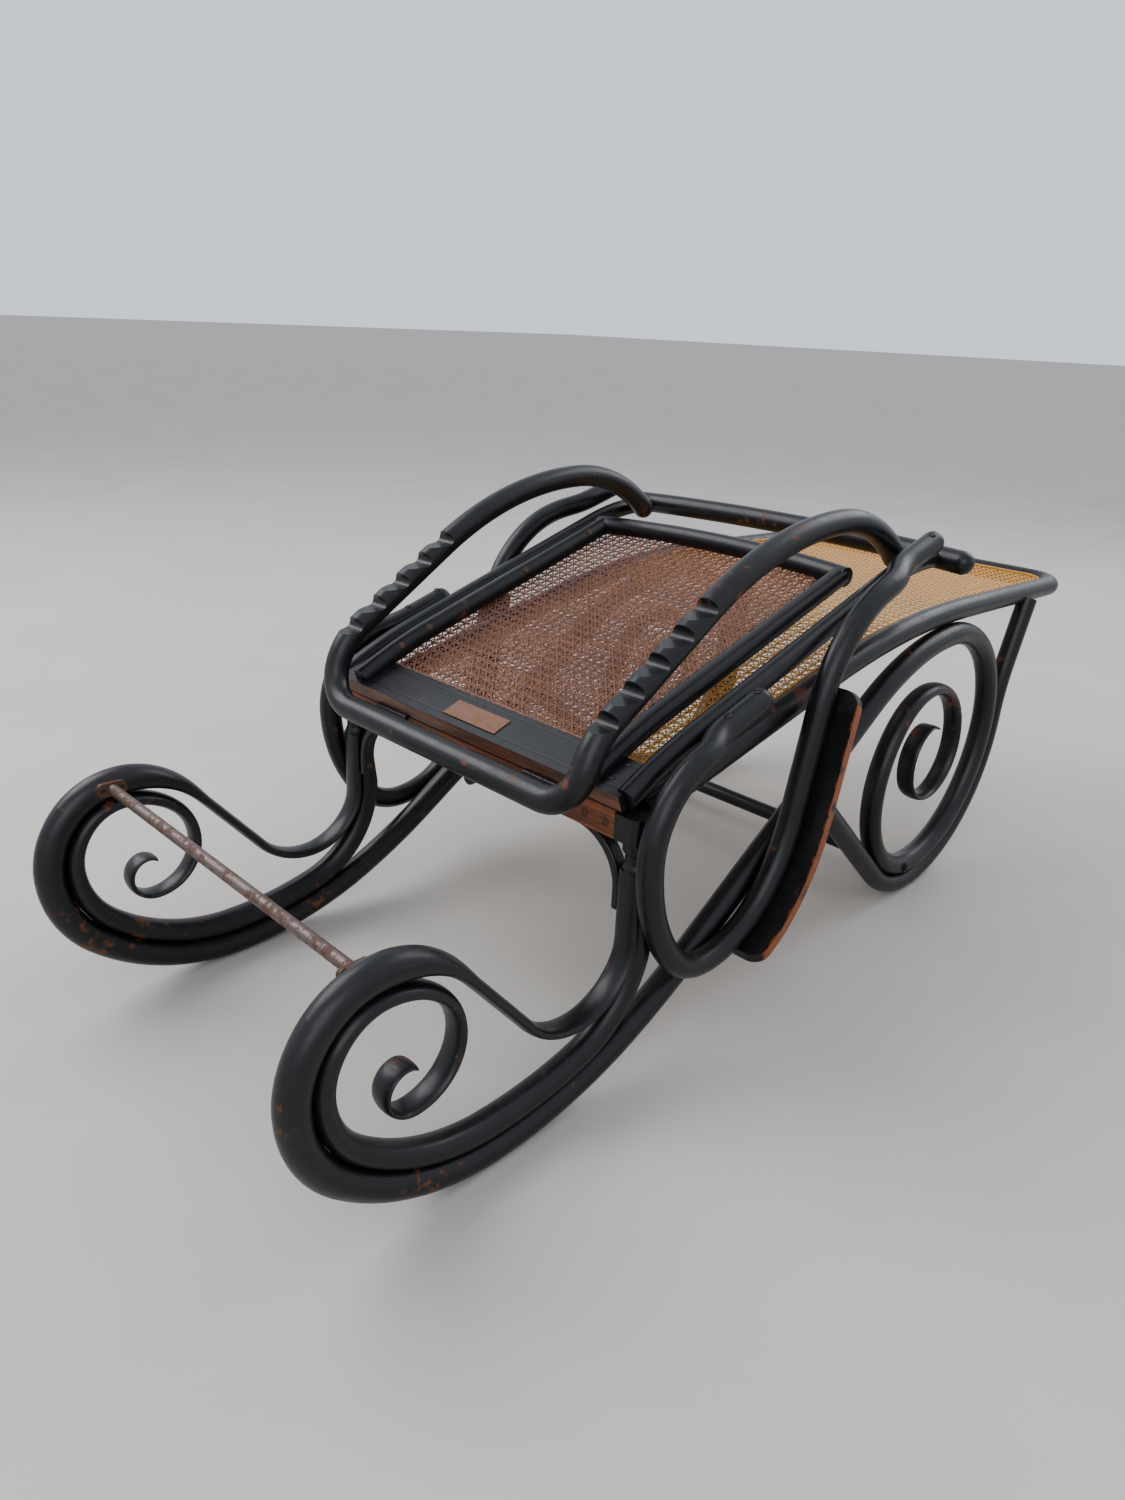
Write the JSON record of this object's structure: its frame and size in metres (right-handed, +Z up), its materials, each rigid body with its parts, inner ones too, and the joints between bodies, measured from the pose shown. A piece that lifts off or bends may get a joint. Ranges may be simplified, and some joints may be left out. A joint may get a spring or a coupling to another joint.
{
  "type": "adjustable caned bentwood chaise longue",
  "caption": "Caned bentwood reclining chaise on scrolled side frames; hinged back folds over the seat, notched prop loop hooks on a cross rod. Size judged from seat height and width.",
  "frame": {"origin": "middle of the footprint on the floor", "axes": "+X towards the foot, +Y to the left as seen from the head end looking to the foot, +Z up"},
  "size_m": [1.6744, 0.72, 0.6605],
  "materials": {
    "ebonised_wood": "worn black polish",
    "bare_brown_wood": "worn to bare brown wood",
    "honey_cane": "satin cane",
    "dark_cane": "aged cane",
    "worn_plate": "worn brown",
    "old_iron": "dull"
  },
  "bodies": {
    "base": {"side_runner_left": "ebonised_wood", "side_runner_right": "ebonised_wood", "head_scroll_left": "ebonised_wood", "head_scroll_right": "ebonised_wood", "s_strand_left": "ebonised_wood", "s_strand_right": "ebonised_wood", "foot_scroll_left": "ebonised_wood", "foot_scroll_right": "ebonised_wood", "foot_leg_left": "ebonised_wood", "foot_leg_right": "ebonised_wood", "seat_rim": "ebonised_wood", "seat_cane": "honey_cane", "hinge_rail": "bare_brown_wood", "corner_block_left": "ebonised_wood", "corner_block_right": "ebonised_wood", "post_collar_left": "ebonised_wood", "post_collar_right": "ebonised_wood", "corner_brace_left": "ebonised_wood", "corner_brace_right": "ebonised_wood", "rail_lug": "ebonised_wood", "ratchet_rod": "old_iron", "rod_plate_left": "old_iron", "rod_plate_right": "old_iron", "stretcher": "ebonised_wood", "stretcher_bolts": "old_iron", "rail_screws": "old_iron", "rail_hinge_leaves": "old_iron", "hinge_pins": "old_iron"},
    "back": {"back_board": "ebonised_wood", "back_tube_left": "ebonised_wood", "back_tube_right": "ebonised_wood", "cane_rail_left": "ebonised_wood", "cane_rail_right": "ebonised_wood", "top_rail": "ebonised_wood", "crest_bar": "ebonised_wood", "back_cane": "dark_cane", "board_plate": "worn_plate", "arm_loop_left": "ebonised_wood", "arm_loop_right": "ebonised_wood", "arm_pad_left": "ebonised_wood", "arm_pad_right": "ebonised_wood", "board_hinge_leaves": "old_iron", "prop_pins": "old_iron"},
    "prop": {"ratchet_loop": "ebonised_wood"}
  },
  "joints": [
    {"name": "back_hinge", "type": "hinge", "parent": "base", "child": "back", "pos_m": [-0.3889, 0, 0.366], "axis": [0, -1, 0], "range_deg": [0, 128.2]},
    {"name": "prop_pivot", "type": "hinge", "parent": "back", "child": "prop", "pos_m": [0.2196, 0, 0.578], "axis": [0, -1, 0], "range_deg": [-14, 0.5]}
  ],
  "couplings": [
    {"joint": "prop_pivot", "follows": "back_hinge", "ratio": -0.1013}
  ]
}
